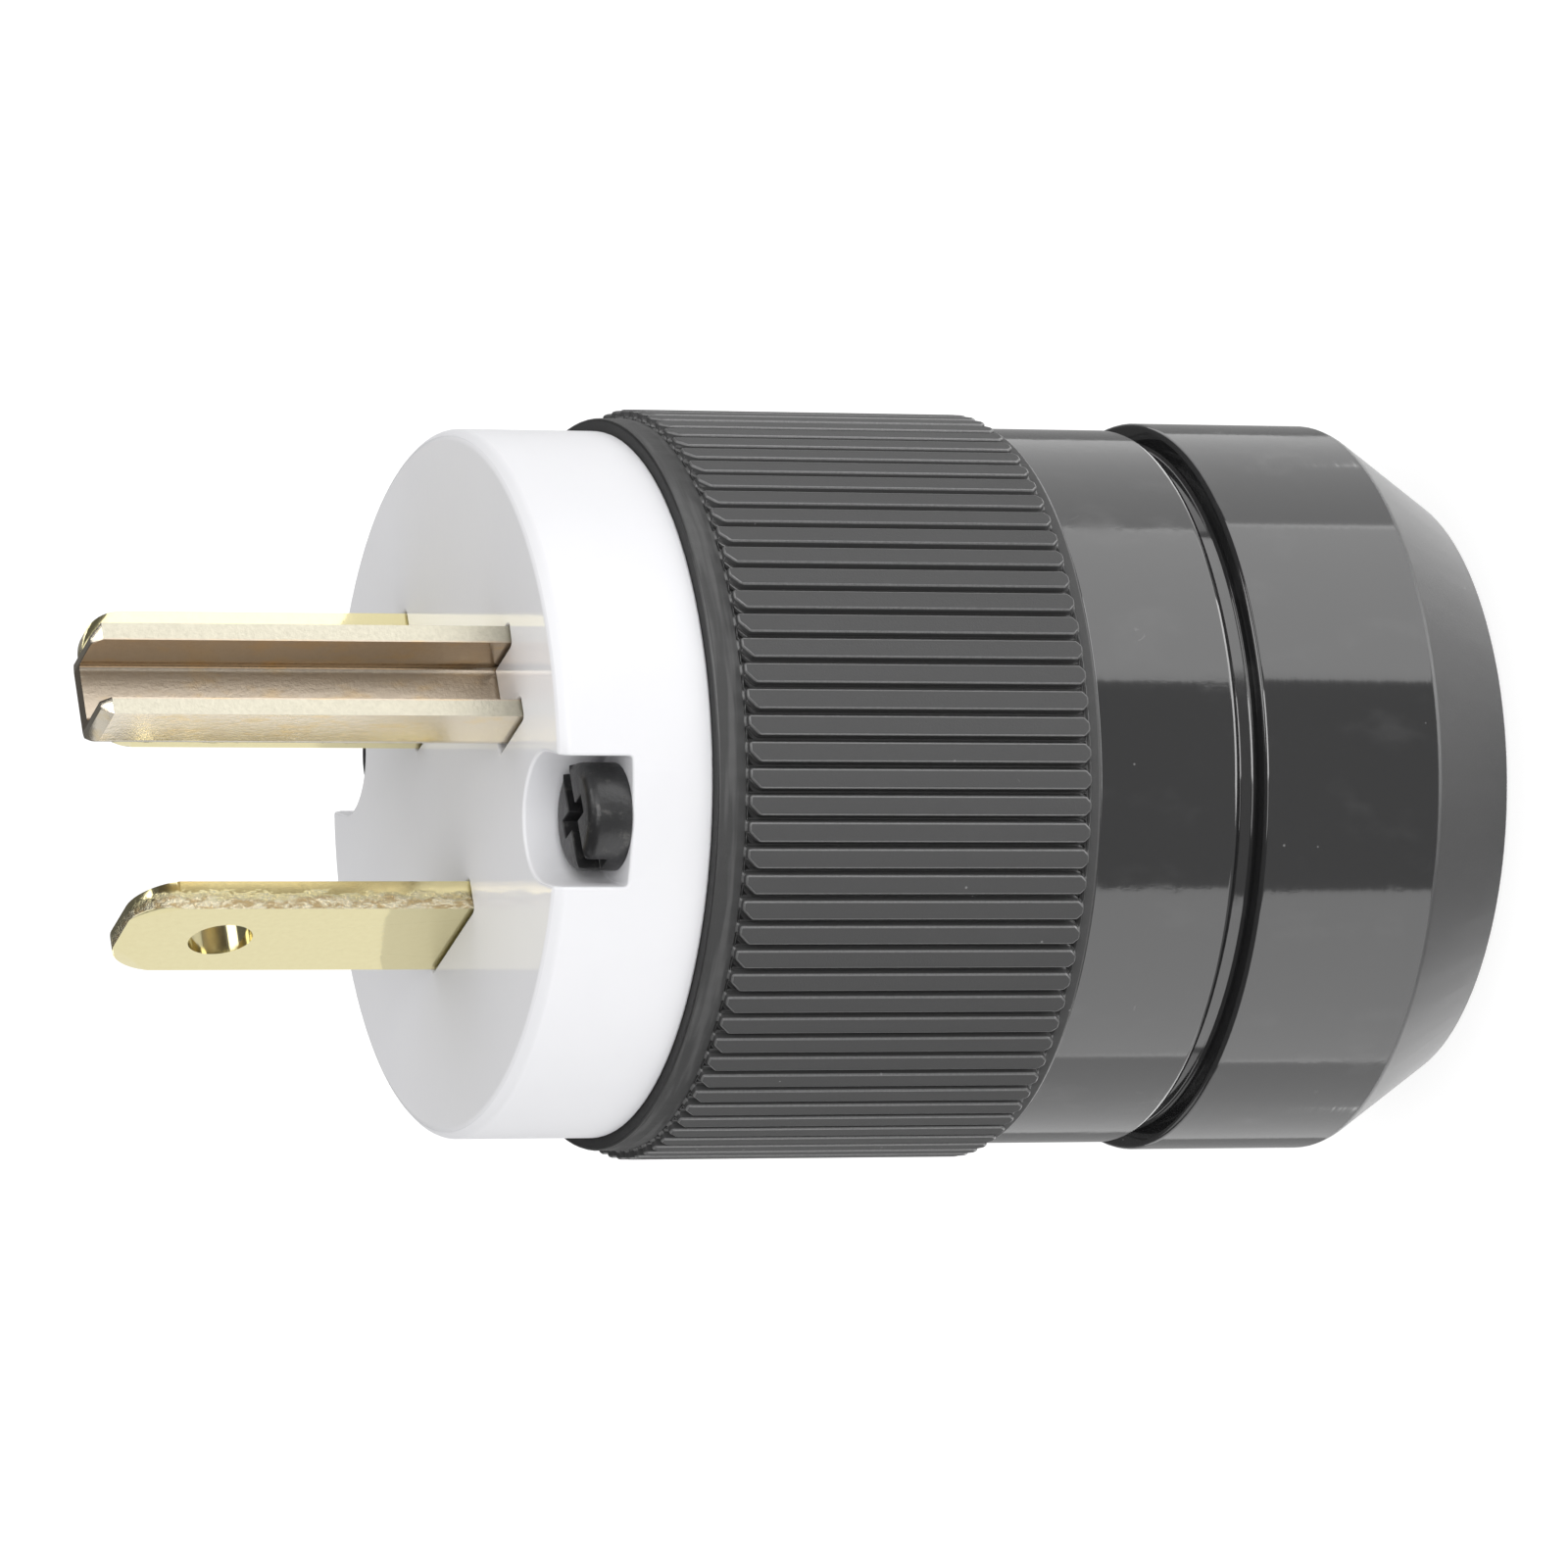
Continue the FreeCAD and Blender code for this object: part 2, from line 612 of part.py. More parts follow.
# Grip shell: the black nylon sleeve with a ring of ribs under a plain flange, and a web that the cord passes.
def build_grip_shell():
    body = new_body("grip_shell", "shell_foot")
    pusher = "seat_high_radius - bore_gap"
    pusher_foot = "jaw_top - shell_foot"
    collar_foot = "rib_foot - collar_width"
    turned(body, "Sleeve", [
        ("wire_hole_radius", pusher_foot), (pusher, pusher_foot), (pusher, "0"), ("grip_radius", "0"),
        ("grip_radius", collar_foot), ("collar_radius", collar_foot), ("collar_radius", "rib_foot"),
        ("grip_radius", "rib_foot"), ("grip_radius", "flange_foot"), ("flange_radius", "flange_foot"),
        ("flange_radius", "shell_height"), ("shell_bore", "shell_height"), ("shell_bore", "web_depth"),
        ("wire_hole_radius", "web_depth")])
    columns = new_sketch(body, "BossCircles", turn="screw_turn")
    screw_places(columns, "boss_radius")
    pad(body, columns, "shell_height", "Bosses")
    holes = new_sketch(body, "ScrewHoles", turn="screw_turn")
    screw_places(holes, "screw_hole")
    pocket(body, holes, "ScrewClearance", reversed_=True)
    add_ribs(body)


def add_ribs(body):
    """A ring with one flat for each rib, then on every flat a straight rib from the collar to the flange. Its
    front end is cut aslant and its rear end has two bevelled corners."""
    flats = new_sketch(body, "FlatRing", offset="rib_foot")
    step = "180 deg / rib_count"
    corner = f"(grip_radius + collar_radius) / 2 / cos({step})"
    corners = [f"{2 * i + 1} * {step}" for i in range(SIZES["rib_count"])]
    add_outline(flats, [(f"{corner} * cos({turn})", f"{corner} * sin({turn})") for turn in corners])
    root = "(shell_bore + grip_radius) / 2"
    add_circle(flats, "0", "0", root)
    pad(body, flats, "flange_foot - rib_foot", "Flats")
    half = "(rib_pitch - rib_gap_width) / 2"
    heel = f"({half} - rib_heel)"
    above = "rib_foot + rib_heel"
    outline = new_sketch(body, "RibOutline", "YZ_Plane", offset=root)
    add_outline(outline, [(f"-{heel}", "rib_foot"), (heel, "rib_foot"), (half, above), (half, "flange_foot"),
                          (f"{half} - rib_tip_width", "flange_foot"), (f"-{half}", "flange_foot - rib_taper"),
                          (f"-{half}", above)])
    rib = pad(body, outline, f"rib_radius - ({root})", "Rib")
    ring = body.newObject("PartDesign::PolarPattern", "RibRing")
    ring.Originals = [rib]
    ring.Axis = (plane(body, "Z_Axis"), [""])
    ring.Angle = 360
    bind(ring, Occurrences="rib_count")
    body.Tip = ring
    doc.recompute()


# Rear housing: the black nylon end piece, with the cord entry, the seat of the jaws and the two nuts in it.
def build_rear_housing():
    body = new_body("rear_housing")
    hole = "cord_hole_radius"
    form = turned(body, "Housing", [
        (f"{hole} + cord_hole_chamfer", "0"), ("tail_radius", "0"), ("rear_radius", "cone_depth"),
        ("rear_radius", "rear_depth"), ("neck_radius", "rear_depth"), ("neck_radius", "shell_foot"),
        ("seat_high_radius", "shell_foot"), ("seat_high_radius", "jaw_top"), ("seat_low_radius", "seal_seat"),
        ("seat_low_radius", "entry_wall"), (hole, "entry_wall"), (hole, "cord_hole_chamfer")])
    dress(body, "Chamfer", "TailBevel", form, rim_edges(form.Shape, "tail_radius", "0"), "tail_bevel")
    nuts = new_sketch(body, "InsertCircles", offset="insert_top", turn="screw_turn")
    screw_places(nuts, "insert_radius")
    pocket(body, nuts, "InsertSeats", "insert_length")
    holes = new_sketch(body, "ScrewHoles", offset="shell_foot", turn="screw_turn")
    screw_places(holes, "screw_hole")
    pocket(body, holes, "ScrewClearance", "shell_foot - insert_top")


# Threaded inserts: turned brass nuts, moulded into the housing.
def build_insert(label, x, y):
    body = new_body(label, "insert_top - insert_length")
    bind(body, Placement__Base__x=x, Placement__Base__y=y)
    section = new_sketch(body, "NutSection")
    add_circle(section, "0", "0", "insert_radius")
    add_circle(section, "0", "0", "screw_shank_radius + thread_gap")
    pad(body, section, "insert_length", "Nut")


# Jaws: two half rings of nylon with two teeth inside. The cone of the housing closes them on the cord.
def build_jaw(label, angle):
    body = new_body(label, "seal_seat")
    body.Placement = FreeCAD.Placement(body.Placement.Base, FreeCAD.Rotation(FreeCAD.Vector(0, 0, 1), angle))
    corners = [("jaw_hole_radius", "0"), ("seat_low_radius - fit_gap", "0"),
               ("seat_high_radius - fit_gap", "jaw_depth"), ("jaw_hole_radius", "jaw_depth")]
    for side in (1, -1):
        middle = f"jaw_depth / 2 + {side} * tooth_pitch"
        corners += [("jaw_hole_radius", f"{middle} + tooth_pitch / 2"),
                    ("jaw_hole_radius - tooth_height", middle),
                    ("jaw_hole_radius", f"{middle} - tooth_pitch / 2")]
    turned(body, "Jaw", corners, "jaw_angle")


# Cord seal: a rubber washer that closes round the cord.
def build_cord_seal():
    body = new_body("cord_seal", "entry_wall")
    ring = new_sketch(body, "WasherRings")
    add_circle(ring, "0", "0", "seat_low_radius - fit_gap")
    add_circle(ring, "0", "0", "seal_hole_radius")
    pad(body, ring, "seal_depth", "Washer")


def build_assembly_screws():
    """Two long screws, each with its nut, on opposite sides of the axis."""
    for letter, sign in (("a", 1), ("b", -1)):
        x = f"{sign} * screw_circle * cos(screw_turn * 1 deg)"
        y = f"{sign} * screw_circle * sin(screw_turn * 1 deg)"
        screw = build_screw("assembly_screw_" + letter, "screw_head_radius", "screw_head_height",
                            "screw_shank_radius", "head_seat - screw_end")
        bind(screw, Placement__Base__x=x, Placement__Base__y=y, Placement__Base__z="head_seat")
        build_insert("threaded_insert_" + letter, x, y)


def check_document():
    for item in doc.Objects:
        if "Invalid" in item.State or "Error" in item.State:
            raise ValueError(f"{item.Label} has failed: {item.State}")
    for item in sub_parts:
        if item.Shape.isNull() or not item.Shape.isValid() or item.Shape.Volume <= 0:
            raise ValueError(f"{item.Label} has no sound shape")


fill_sheet()
build_rear_housing()
build_cord_seal()
build_jaw("clamp_jaw_a", 0)
build_jaw("clamp_jaw_b", 180)
build_grip_shell()
build_contact_carrier()
build_front_face()
build_blade("hot_blade", "-blade_pitch / 2", "blade_line", 90)
build_blade("neutral_blade", "blade_pitch / 2", "blade_line", 0)
build_ground_pin()
build_terminals()
build_assembly_screws()
doc.recompute()
check_document()
os.makedirs("parts", exist_ok=True)
for sub_part in sub_parts:
    sub_part.Shape.exportStep(f"parts/{sub_part.Label}.step")
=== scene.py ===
import math

import bmesh
import bpy
from mathutils import Matrix, Vector


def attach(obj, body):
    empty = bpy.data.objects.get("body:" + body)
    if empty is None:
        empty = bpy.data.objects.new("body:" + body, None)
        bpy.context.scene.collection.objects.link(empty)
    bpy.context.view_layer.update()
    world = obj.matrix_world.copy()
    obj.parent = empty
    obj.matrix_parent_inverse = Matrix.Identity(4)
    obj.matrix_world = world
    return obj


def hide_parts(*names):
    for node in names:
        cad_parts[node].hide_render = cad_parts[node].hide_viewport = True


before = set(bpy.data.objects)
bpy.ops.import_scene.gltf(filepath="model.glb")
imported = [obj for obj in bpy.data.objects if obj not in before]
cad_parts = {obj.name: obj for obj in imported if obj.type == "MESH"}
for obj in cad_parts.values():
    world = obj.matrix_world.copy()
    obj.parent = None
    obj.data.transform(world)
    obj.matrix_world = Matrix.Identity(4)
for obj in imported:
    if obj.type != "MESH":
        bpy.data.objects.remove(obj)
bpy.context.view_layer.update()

# Rear housing: the polished end of the plug, moulded from black nylon in one piece with the matt cone
# round its cord entry. The two long screws hold it to the grip shell, with a narrow groove between them.
MM = 0.001
BODY_TOP = 47.8
POLISH_FOOT = 5.17
REAR_RIM = 13.0
SAME_PLACE = 0.002
SAME_PLANE = math.radians(0.5)
SHARP = math.radians(30)
BODY_BLACK = (0.016, 0.016, 0.0165, 1)
HAZE_GREY = (0.034, 0.034, 0.0345, 1)
DUST_GREY = (0.3, 0.3, 0.3, 1)


class Field:
    """A socket in a finish. Fields and numbers are added, subtracted and multiplied freely."""

    def __init__(self, nodes, socket):
        self.nodes = nodes
        self.socket = socket

    def maths(self, operation, first, second):
        return self.nodes.node("Math", {"operation": operation}, {0: first, 1: second})

    def __add__(self, other):
        return self.maths("ADD", self, other)

    def __radd__(self, other):
        return self.maths("ADD", other, self)

    def __sub__(self, other):
        return self.maths("SUBTRACT", self, other)

    def __rsub__(self, other):
        return self.maths("SUBTRACT", other, self)

    def __mul__(self, other):
        return self.maths("MULTIPLY", self, other)

    def __rmul__(self, other):
        return self.maths("MULTIPLY", other, self)

    def size(self):
        """The value without its sign."""
        return self.maths("ABSOLUTE", self, 0)

    def step(self, low, high):
        """0 below low, 1 above high, and a soft change between them."""
        return self.nodes.node("MapRange", {"interpolation_type": "SMOOTHSTEP"},
                               {"Value": self, "From Min": low, "From Max": high})

    def band(self, low, high, soft):
        """1 between low and high, 0 outside them, and a soft change at each."""
        return self.step(low - soft, low + soft) * (1 - self.step(high - soft, high + soft))


class Nodes:
    """The nodes of one shader. Any kind of node is added by its name, its settings and its inputs."""

    def __init__(self, tree):
        self.tree = tree

    def node(self, kind, settings=None, inputs=None, output=0):
        made = self.tree.nodes.new("ShaderNode" + kind)
        for name, setting in (settings or {}).items():
            setattr(made, name, setting)
        for name, given in (inputs or {}).items():
            if isinstance(given, Field):
                self.tree.links.new(given.socket, made.inputs[name])
            else:
                made.inputs[name].default_value = given
        return Field(self, made.outputs[output])


class Finish(Nodes):
    """A material with one Principled shader. Places in it are in millimetres in the plug's own frame."""

    MIX_FIRST = 6
    MIX_SECOND = 7
    MIX_RESULT = 2

    def __init__(self, name, **constants):
        self.material = bpy.data.materials.new(name)
        self.material.use_nodes = True
        super().__init__(self.material.node_tree)
        self.shader = self.tree.nodes["Principled BSDF"]
        for socket, number in constants.items():
            self.shader.inputs[socket.replace("_", " ")].default_value = number
        place = self.node("TexCoord", output="Object")
        self.place = self.node("VectorMath", {"operation": "SCALE"}, {"Vector": place, "Scale": 1 / MM})

    def feed(self, **fields):
        for name, field in fields.items():
            self.tree.links.new(field.socket, self.shader.inputs[name.replace("_", " ")])

    def bump(self, height, distance):
        """Height runs from 0 to 1, and distance is its real size in millimetres."""
        self.feed(Normal=self.node("Bump", inputs={"Height": height, "Distance": distance * MM}))

    def mix(self, factor, first, second):
        colours = {"Factor": factor, self.MIX_FIRST: first, self.MIX_SECOND: second}
        return self.node("Mix", {"data_type": "RGBA"}, colours, self.MIX_RESULT)

    def axis(self, letter):
        return self.node("SeparateXYZ", inputs={0: self.place}, output=letter)

    def facing(self, letter):
        """How squarely a surface faces along an axis, from 0 to 1."""
        normal = self.node("TexCoord", output="Normal")
        return self.node("SeparateXYZ", inputs={0: normal}, output=letter).size()

    def noise(self, scale, stretch=(1, 1, 1), detail=2.0, roughness=0.5):
        stretched = self.node("VectorMath", {"operation": "MULTIPLY"}, {0: self.place, 1: stretch})
        return self.node("TexNoise", inputs={"Vector": stretched, "Scale": scale, "Detail": detail,
                                             "Roughness": roughness})

    def specks(self, scale, size, share):
        """Small round spots, such as dust, on a share of the places of a fine grid."""
        cells = {"Vector": self.place, "Scale": scale}
        near = self.node("TexVoronoi", inputs=cells, output="Distance")
        colour = self.node("TexVoronoi", inputs=cells, output="Color")
        chosen = self.node("SeparateColor", inputs={0: colour}).step(1 - share, 1 - share + 0.001)
        return (1 - near.step(size * 0.6, size)) * chosen

    def hairs(self, scale, width, share):
        """Short, thin curved lines, such as fine scratches, on a share of the surface."""
        line = 1 - (self.noise(scale, detail=1.0) - 0.5).size().step(width * 0.4, width)
        return line * self.noise(scale * 2.6, detail=0.0).step(1 - share - 0.02, 1 - share)


class BlackNylon(Finish):
    """Black nylon that is polished between two heights and matt outside them, with dust on it and fine
    scratches. The mould left faint rings on its polished part and a fine grain on the matt one."""

    def __init__(self, name, polish_low, polish_high):
        super().__init__(name, IOR=1.85)
        self.polished = self.axis("Z").band(polish_low, polish_high, 0.05)
        self.matt = 1 - self.polished
        self.haze = self.noise(0.4, (1, 1, 0.6), detail=5, roughness=0.6).step(0.52, 0.75)
        self.rings = self.noise(2.2, (0.08, 0.08, 1))
        self.grain = self.noise(9.0, detail=4.0, roughness=0.7)
        hazy = self.mix(self.haze * 0.8, BODY_BLACK, HAZE_GREY)
        self.shade = self.mix(self.matt * 0.8, hazy, HAZE_GREY)

    def lay(self, dullness):
        """Completes the finish. Dullness is how rough the matt part is."""
        dust = self.specks(0.6, 0.045, 0.25) * 0.5 + self.hairs(0.45, 0.008, 0.16) * 0.14
        haze = self.haze * self.polished
        rings = self.rings * self.polished
        self.feed(Base_Color=self.mix(dust, self.shade, DUST_GREY))
        self.feed(Roughness=0.075 + haze * 0.1 + self.matt * dullness + dust * 0.3)
        self.bump(self.grain * self.matt + rings * 0.3 + haze * 0.2, 0.014)
        return self.material


def eased(node, material, edge_width, segments=2, joined=True):
    """A copy of a node's solid with its sharp edges rounded, as a mould or a tool leaves them. Edge_width
    gives an edge's width in millimetres from the place of its middle, and 0 keeps it sharp. Joined first
    makes one face of each flat side, which suits only sides with no holes."""
    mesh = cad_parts[node].data.copy()
    work = bmesh.new()
    work.from_mesh(mesh)
    bmesh.ops.remove_doubles(work, verts=work.verts, dist=SAME_PLACE * MM)
    if joined:
        bmesh.ops.dissolve_limit(work, angle_limit=SAME_PLANE, verts=work.verts, edges=work.edges)
    shares = work.edges.layers.float.new("bevel_weight_edge")
    sharp = [edge for edge in work.edges if edge.is_manifold and edge.calc_face_angle(0) >= SHARP]
    widths = [edge_width((edge.verts[0].co + edge.verts[1].co) / 2 / MM) for edge in sharp]
    widest = max(widths)
    for edge, width in zip(sharp, widths):
        edge[shares] = width / widest
        edge.smooth = width > 0
    for face in work.faces:
        face.smooth = True
        face.material_index = 0
    work.to_mesh(mesh)
    work.free()
    mesh.materials.clear()
    mesh.materials.append(material)
    piece = bpy.data.objects.new(node + "_eased", mesh)
    bpy.context.scene.collection.objects.link(piece)
    bevel = piece.modifiers.new("Eased", "BEVEL")
    bevel.width = widest * MM
    bevel.segments = segments
    bevel.limit_method = "WEIGHT"
    bevel.miter_outer = "MITER_ARC"
    bevel.use_clamp_overlap = not joined
    piece.modifiers.new("Shading", "WEIGHTED_NORMAL").keep_sharp = True
    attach(piece, "root")
    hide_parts(node)
    return piece


rear_black = BlackNylon("rear_black", POLISH_FOOT, BODY_TOP).lay(dullness=0.37)
rear = eased("rear_housing", rear_black, lambda place: 0.25 if place.z > REAR_RIM else 0.15, segments=3)

# Cord seal, jaws and nuts: what stands in the rear housing. The seal is punched from rubber, the two
# jaws are half rings of black nylon on a conical seat, and the nuts are turned from brass and moulded in.
SEAL_BLACKS = (0.02, 0.02, 0.02, 1), (0.035, 0.034, 0.033, 1)
JAW_BLACKS = (0.03, 0.03, 0.032, 1), (0.05, 0.05, 0.052, 1)


def dress(nodes, material):
    """Gives the solids of nodes that keep their own shape a finish."""
    for node in nodes:
        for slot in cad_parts[node].material_slots:
            slot.material = material


def turned_metal(name, dark, pale, roughness):
    """Metal with the fine marks of the tool that turned it."""
    finish = Finish(name, Metallic=1.0)
    marks = finish.noise(3.0, (1, 1, 4), detail=3)
    finish.feed(Base_Color=finish.mix(marks, dark, pale), Roughness=roughness + marks * 0.15)
    finish.bump(marks, 0.01)
    return finish.material


rubber = Finish("seal_rubber", Roughness=0.8, IOR=1.5)
rubber.feed(Base_Color=rubber.mix(rubber.noise(1.5), *SEAL_BLACKS))
rubber.bump(rubber.noise(8.0, detail=4.0), 0.03)
dress(["cord_seal"], rubber.material)

jaw_nylon = Finish("jaw_nylon", Roughness=0.45, IOR=1.5)
jaw_nylon.feed(Base_Color=jaw_nylon.mix(jaw_nylon.noise(0.6), *JAW_BLACKS))
jaw_nylon.bump(jaw_nylon.noise(7.0, detail=4.0), 0.015)
dress(["clamp_jaw_a", "clamp_jaw_b"], jaw_nylon.material)

screw_brass = turned_metal("screw_brass", (0.55, 0.4, 0.16, 1), (0.75, 0.6, 0.3, 1), 0.25)
dress(["threaded_insert_a", "threaded_insert_b"], screw_brass)

# Grip shell: the black nylon sleeve, moulded in one piece. Its front has a plain flange and the straight
# ribs, which are matt, and its rear part is polished. It slides on the carrier, and the long screws hold it.
SHELL_BORE = 15.95
SHELL_FOOT = 14.8
COLLAR_FOOT = 21.85
FLANGE_FOOT = 39.1
PARTING = 40.5
RIB_FOOT = 16.92
RIB_RISE = 0.16
EDGE = 0.1
# Painted highlight: the pale grey of the rings on the flange.
FLANGE_HIGHLIGHT_GREY = (0.1, 0.1, 0.1, 1)
# Painted highlight: the paler grey of the ribs' rounded edges.
HIGHLIGHT_GREY = (0.2, 0.2, 0.2, 1)
# Painted shade: the near black of the gaps between the ribs.
GAP_SHADE_BLACK = (0.006, 0.006, 0.006, 1)

shell_black = BlackNylon("shell_black", 0, COLLAR_FOOT)
ribbed = shell_black.axis("Z").step(COLLAR_FOOT, COLLAR_FOOT + 0.2)
flange = shell_black.axis("Z").step(FLANGE_FOOT, FLANGE_FOOT + 0.1)

# The ribs' rounded edges face neither straight out nor sideways, and a painted highlight makes them paler.
# The gaps between the ribs are darkened with painted shade.
from_axis = shell_black.node("VectorMath", {"operation": "MULTIPLY"},
                             {0: shell_black.place, 1: (1, 1, 0)})
outwards = shell_black.node("VectorMath", {"operation": "NORMALIZE"}, {0: from_axis})
normal = shell_black.node("TexCoord", output="Normal")
turn = shell_black.node("VectorMath", {"operation": "DOT_PRODUCT"}, {0: outwards, 1: normal}, "Value")
highlit_edge = turn.band(0.3, 0.93, 0.05) * ribbed
radius = shell_black.node("VectorMath", {"operation": "LENGTH"}, {0: from_axis}, "Value")
gap_shade = (1 - radius.step(RIB_FOOT, RIB_FOOT + RIB_RISE)) * ribbed

# The flange's pale rings are a painted highlight.
flange_highlight_rings = flange * shell_black.rings.step(0.45, 0.65)
shell_black.shade = shell_black.mix(flange_highlight_rings, shell_black.shade, FLANGE_HIGHLIGHT_GREY)
# The ribs' rounded edges get a painted highlight.
shell_black.shade = shell_black.mix(highlit_edge * shell_black.grain, shell_black.shade, HIGHLIGHT_GREY)
# The gaps between the ribs get painted shade.
shell_black.shade = shell_black.mix(gap_shade, shell_black.shade, GAP_SHADE_BLACK)


def shell_edge(place):
    """The moulding's two ends are eased more than its ribs, and its inside stays sharp."""
    if math.hypot(place.x, place.y) < SHELL_BORE + EDGE:
        return 0
    if place.z < SHELL_FOOT + EDGE:
        return 0.45
    return 0.16 if place.z > PARTING - EDGE else 0.13


shell = eased("grip_shell", shell_black.lay(dullness=0.78 - highlit_edge * 0.52), shell_edge, segments=3)

# Contact carrier: an insulating block, moulded from the same black nylon as the jaws, with a chamber for
# each contact. It stands in the shell's bore, and it traps the contacts' shoulders against the front.
dress(["contact_carrier"], jaw_nylon.material)

# Blades: stamped from brass strip, with coined tips and a round punched hole, and trapped by the carrier.
# Their broad sides are smooth and pale, and the sheared edges are torn near one side.
BLADE_SIDE = 6.35
BLADE_LINE = 1.9
HOLE_HEIGHT = 59.0
HOLE_RADIUS = 1.5
BRASS = (0.78, 0.70, 0.40, 1), (0.83, 0.76, 0.45, 1)
TORN_BRASS = (0.66, 0.5, 0.26, 1), (1.0, 0.92, 0.68, 1)


def strip_brass(name, broad, middle, across, line):
    """Brass strip whose broad sides face along the broad axis, each side of its middle there. Line is where
    its middle line lies on the axis across it. The wall of the hole isn't torn as the outer edges are."""
    finish = Finish(name, Metallic=1.0)
    edge = 1 - finish.facing(broad).step(0.8, 0.95)
    aside = (finish.axis(across) - line).size().step(HOLE_RADIUS + 0.1, HOLE_RADIUS + 0.3)
    above = (finish.axis("Z") - HOLE_HEIGHT).step(HOLE_RADIUS + 0.2, HOLE_RADIUS + 0.4)
    outer = 1 - (1 - aside) * (1 - above)
    wander = finish.noise(2.2, (1, 1, 0.4), detail=5, roughness=0.7) * 1.4 - 0.6
    torn = edge * outer * (1 - (finish.axis(broad) - middle + wander).step(-0.25, 0.25))
    crackle = finish.noise(3.2, (1, 1, 0.45), detail=5, roughness=0.8)
    fine = finish.noise(3.0, detail=3.0)
    plain = finish.mix(fine, *BRASS)
    rough = finish.mix(crackle.step(0.42, 0.56), *TORN_BRASS)
    finish.feed(Base_Color=finish.mix(torn, plain, rough))
    finish.feed(Roughness=0.05 + fine * 0.05 + edge * 0.06 + torn * 0.12)
    finish.bump(torn * crackle + fine * 0.01, 0.2)
    return finish.material


def blade_edge(across, height):
    """An edge's width, from its place beside a blade's middle line: the hole's edges stay sharp."""
    return 0 if math.hypot(across, height - HOLE_HEIGHT) < HOLE_RADIUS + 0.15 else 0.07


hot_brass = strip_brass("hot_blade_brass", "X", -BLADE_SIDE, "Y", BLADE_LINE)
hot = eased("hot_blade", hot_brass, lambda place: blade_edge(place.y - BLADE_LINE, place.z), joined=False)

neutral_brass = strip_brass("neutral_blade_brass", "Y", BLADE_LINE, "X", BLADE_SIDE)
neutral = eased("neutral_blade", neutral_brass,
                lambda place: blade_edge(place.x - BLADE_SIDE, place.z), joined=False)

# Ground pin: one strip of brass, folded to a U, dull nickel plated, and trapped by the carrier. The sheared
# edges of its legs stay granular, and the brass shows through the thin plating in flecks. The inside of the
# U is darker with painted shade.
LEG_INSIDE = 1.45
NICKEL = (0.84, 0.76, 0.62, 1), (0.94, 0.86, 0.72, 1)
# Painted shade: the darker nickel of the inside of the U.
SHADED_INSIDE_NICKEL = (0.48, 0.4, 0.31, 1), (0.6, 0.52, 0.42, 1)
SHEARED_NICKEL = (0.38, 0.355, 0.285, 1), (0.6, 0.57, 0.465, 1)
FLECK_BRASS = (0.92, 0.76, 0.48, 1)
# Painted shade: the darker brass flecks inside the U.
SHADED_INSIDE_FLECK_BRASS = (0.62, 0.46, 0.26, 1)

nickel = Finish("pin_nickel", Metallic=1.0)
sheared = nickel.facing("Y").step(0.8, 0.95)
# Between the legs of the U the plating is painted darker, as painted shade.
shaded_inside = 1 - nickel.axis("X").size().step(LEG_INSIDE + 0.05, LEG_INSIDE + 0.1)
grain = nickel.noise(4.0, detail=4.0, roughness=0.7)
flecks = nickel.noise(1.1, (1, 1, 0.5), detail=4, roughness=0.6).step(0.5, 0.68)
plating = nickel.mix(flecks * 0.6, nickel.mix(grain, *NICKEL), FLECK_BRASS)
shaded_inside_plating = nickel.mix(flecks * 0.5, nickel.mix(grain, *SHADED_INSIDE_NICKEL), SHADED_INSIDE_FLECK_BRASS)
outside_plating = nickel.mix(sheared, plating, nickel.mix(grain, *SHEARED_NICKEL))
nickel.feed(Base_Color=nickel.mix(shaded_inside, outside_plating, shaded_inside_plating))
nickel.feed(Roughness=0.13 + grain * 0.1 + sheared * 0.16)
nickel.bump(grain * (0.3 + sheared * 0.7), 0.025)
pin = eased("ground_pin", nickel.material, lambda place: 0.08, joined=False)

# Terminals: each contact's tail carries a screw and an eared clamp plate, of the contact's own metal. The
# live screw is brass, the neutral one is plated steel and the ground one is green.
plate_brass = turned_metal("plate_brass", (0.6, 0.46, 0.2, 1), (0.78, 0.64, 0.34, 1), 0.3)
plate_nickel = turned_metal("plate_nickel", (0.55, 0.52, 0.46, 1), (0.72, 0.69, 0.62, 1), 0.3)
screw_zinc = turned_metal("screw_zinc", (0.6, 0.6, 0.6, 1), (0.78, 0.78, 0.78, 1), 0.25)
screw_green = turned_metal("screw_green", (0.02, 0.2, 0.08, 1), (0.05, 0.3, 0.13, 1), 0.3)
dress(["hot_clamp_plate", "neutral_clamp_plate"], plate_brass)
dress(["ground_clamp_plate"], plate_nickel)
dress(["hot_terminal_screw"], screw_brass)
dress(["neutral_terminal_screw"], screw_zinc)
dress(["ground_terminal_screw"], screw_green)

# Front face: the white nylon disc, moulded with two windows in its rim for the heads of the long screws
# and with slots for the contacts. Its flat face is polished, and its round side is satin.
FACE_WHITES = (0.87, 0.87, 0.89, 1), (0.84, 0.84, 0.865, 1)

white = Finish("white_nylon", IOR=1.6)
cloud = white.noise(0.25, detail=3.0)
white.feed(Base_Color=white.mix(cloud, *FACE_WHITES))
white.feed(Roughness=0.45 + cloud * 0.04 - white.facing("Z").step(0.7, 0.9) * 0.4)
white.bump(white.noise(3.0, detail=3.0), 0.002)
front = eased("front_face", white.material, lambda place: 0.16, segments=3)

